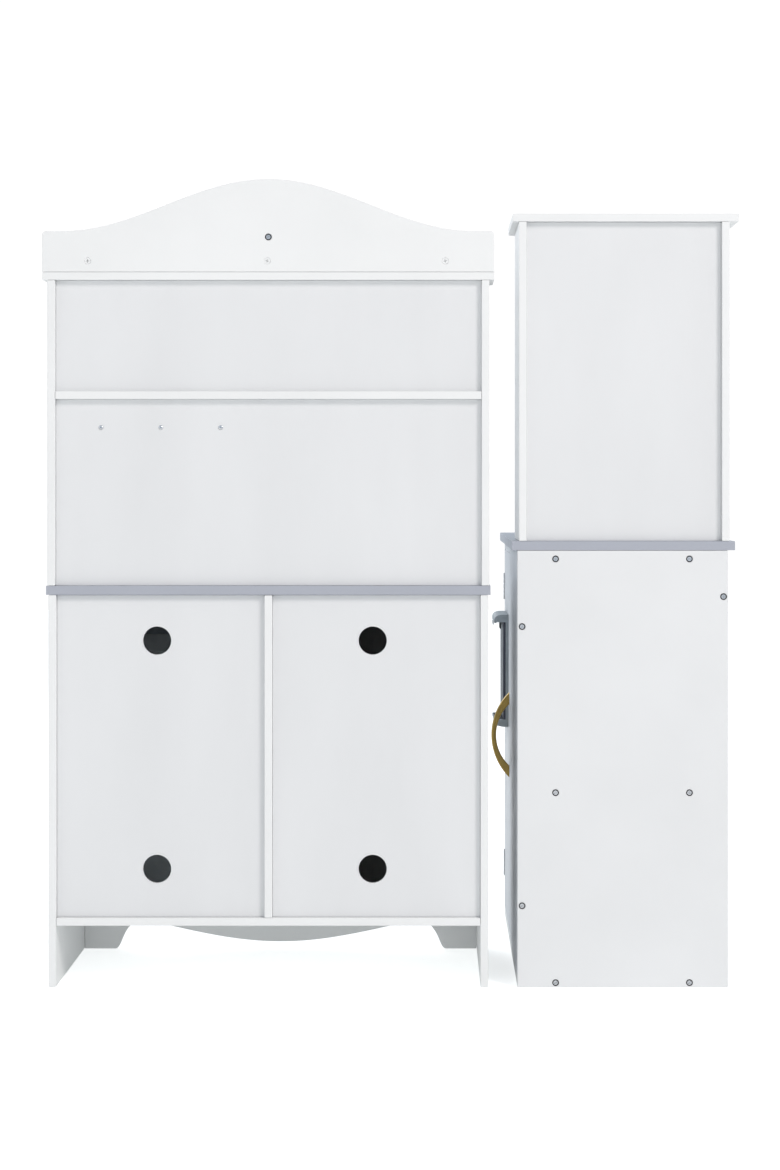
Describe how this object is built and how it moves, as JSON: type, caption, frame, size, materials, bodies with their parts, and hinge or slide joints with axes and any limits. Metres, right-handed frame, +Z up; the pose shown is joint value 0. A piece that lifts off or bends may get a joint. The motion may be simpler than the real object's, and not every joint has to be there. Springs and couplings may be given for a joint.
{
  "type": "toy kitchen",
  "caption": "Corner play kitchen in white painted board with lavender grey worktops: sink and oven unit with a hutch, beside a fridge unit with a microwave tower.",
  "frame": {"origin": "middle of the kitchen's footprint, on the floor", "axes": "+Z up, +Y towards the wall behind, +X to the right of someone facing the sink and the oven"},
  "size_m": [0.906, 0.55, 1.051],
  "materials": {
    "white_board": "satin white paint on board",
    "sheet_white": "thin white faced sheet",
    "worktop_lavender": "satin lavender grey paint on board",
    "pale_grey": "satin pale grey paint on board",
    "handle_gold": "satin gold",
    "gold_plastic": "gold metallised plastic",
    "gold_metal": "satin gold",
    "dispenser_slate": "satin grey plastic",
    "dispenser_paddle": "black plastic",
    "hob_black": "gloss black",
    "steel_grey": "silver grey plastic",
    "rack_steel": "bright wire",
    "clear_pane": "clear acrylic pane"
  },
  "bodies": {
    "kitchen": {"main_side_left": "white_board", "main_side_right": "white_board", "main_floor": "white_board", "main_divider": "white_board", "main_skirt": "white_board", "hutch_side_left": "white_board", "hutch_side_right": "white_board", "hutch_shelf": "white_board", "hutch_top": "white_board", "hutch_crest": "white_board", "crest_cleat": "white_board", "corner_end_back": "white_board", "corner_end_front": "white_board", "corner_floor": "white_board", "corner_back_rail": "white_board", "corner_shelf": "white_board", "corner_top_board": "white_board", "tower_side_left": "white_board", "tower_side_right": "white_board", "tower_shelf": "white_board", "tower_top": "white_board", "main_back_left": "sheet_white", "main_back_right": "sheet_white", "hutch_back_lower": "sheet_white", "hutch_back_upper": "sheet_white", "corner_back_sheet": "sheet_white", "tower_back": "sheet_white", "main_worktop": "worktop_lavender", "corner_worktop": "worktop_lavender", "control_panel": "pale_grey", "clock_dial": "pale_grey", "corner_front_panel": "pale_grey", "tap_body": "gold_plastic", "hook_rail": "gold_metal", "hob_plate": "hob_black", "sink_basin": "steel_grey", "oven_rack": "rack_steel"},
    "oven_door": {"oven_door": "white_board", "oven_window": "clear_pane", "oven_handle": "handle_gold"},
    "sink_door_left": {"sink_door_left": "white_board", "sink_handle_left": "handle_gold"},
    "sink_door_right": {"sink_door_right": "white_board", "sink_handle_right": "handle_gold"},
    "fridge_door": {"fridge_door": "pale_grey", "fridge_handle": "handle_gold", "dispenser_housing": "dispenser_slate"},
    "dispenser_lever": {"dispenser_lever": "dispenser_paddle"},
    "microwave_door": {"microwave_door": "white_board", "microwave_window": "clear_pane", "microwave_handle": "handle_gold"},
    "microwave_knob": {"microwave_knob": "gold_plastic"},
    "stove_knob_left": {"stove_knob_left": "gold_plastic"},
    "stove_knob_middle": {"stove_knob_middle": "gold_plastic"},
    "stove_knob_right": {"stove_knob_right": "gold_plastic"},
    "tap_spout": {"tap_spout": "gold_plastic"},
    "tap_lever_left": {"tap_lever_left": "gold_plastic"},
    "tap_lever_right": {"tap_lever_right": "gold_plastic"},
    "hour_hand": {"hour_hand": "gold_metal"},
    "minute_hand": {"minute_hand": "gold_metal"}
  },
  "joints": [
    {"name": "oven_door_hinge", "type": "hinge", "parent": "kitchen", "child": "oven_door", "pos_m": [0.2995, 0.001, 0.0925], "axis": [1, 0, 0], "range_deg": [0, 90]},
    {"name": "sink_door_left_hinge", "type": "hinge", "parent": "kitchen", "child": "sink_door_left", "pos_m": [-0.1145, 0.001, 0.3], "axis": [0, 0, -1], "range_deg": [0, 90]},
    {"name": "sink_door_right_hinge", "type": "hinge", "parent": "kitchen", "child": "sink_door_right", "pos_m": [0.1515, 0.001, 0.3], "axis": [0, 0, 1], "range_deg": [0, 90]},
    {"name": "fridge_door_hinge", "type": "hinge", "parent": "kitchen", "child": "fridge_door", "pos_m": [-0.165, -0.2505, 0.29], "axis": [0, 0, -1], "range_deg": [0, 100]},
    {"name": "dispenser_lever_hinge", "type": "hinge", "parent": "fridge_door", "child": "dispenser_lever", "pos_m": [-0.1546, -0.145, 0.4522], "axis": [0, 1, 0], "range_deg": [0, 5.5], "stiffness_Nm_per_rad": 0.02},
    {"name": "microwave_door_hinge", "type": "hinge", "parent": "kitchen", "child": "microwave_door", "pos_m": [-0.4285, 0.117, 0.897], "axis": [0, 0, -1], "range_deg": [0, 100]},
    {"name": "microwave_knob_spin", "type": "hinge", "parent": "microwave_door", "child": "microwave_knob", "pos_m": [-0.2475, 0.117, 0.897], "axis": [0, -1, 0], "continuous": true},
    {"name": "stove_knob_left_spin", "type": "hinge", "parent": "kitchen", "child": "stove_knob_left", "pos_m": [0.2215, 0.001, 0.46885], "axis": [0, -1, 0], "continuous": true},
    {"name": "stove_knob_middle_spin", "type": "hinge", "parent": "kitchen", "child": "stove_knob_middle", "pos_m": [0.2995, 0.001, 0.46885], "axis": [0, -1, 0], "continuous": true},
    {"name": "stove_knob_right_spin", "type": "hinge", "parent": "kitchen", "child": "stove_knob_right", "pos_m": [0.3775, 0.001, 0.46885], "axis": [0, -1, 0], "continuous": true},
    {"name": "tap_spout_swivel", "type": "hinge", "parent": "kitchen", "child": "tap_spout", "pos_m": [0.0185, 0.163, 0.545], "axis": [0, 0, 1], "range_deg": [-80, 80]},
    {"name": "tap_lever_left_turn", "type": "hinge", "parent": "kitchen", "child": "tap_lever_left", "pos_m": [-0.0155, 0.163, 0.54], "axis": [0, 0, 1], "range_deg": [0, 90]},
    {"name": "tap_lever_right_turn", "type": "hinge", "parent": "kitchen", "child": "tap_lever_right", "pos_m": [0.0525, 0.163, 0.54], "axis": [0, 0, -1], "range_deg": [0, 90]},
    {"name": "hour_hand_spin", "type": "hinge", "parent": "kitchen", "child": "hour_hand", "pos_m": [0.159, 0.248, 0.9757], "axis": [0, -1, 0], "continuous": true},
    {"name": "minute_hand_spin", "type": "hinge", "parent": "kitchen", "child": "minute_hand", "pos_m": [0.159, 0.246, 0.9757], "axis": [0, -1, 0], "continuous": true}
  ]
}
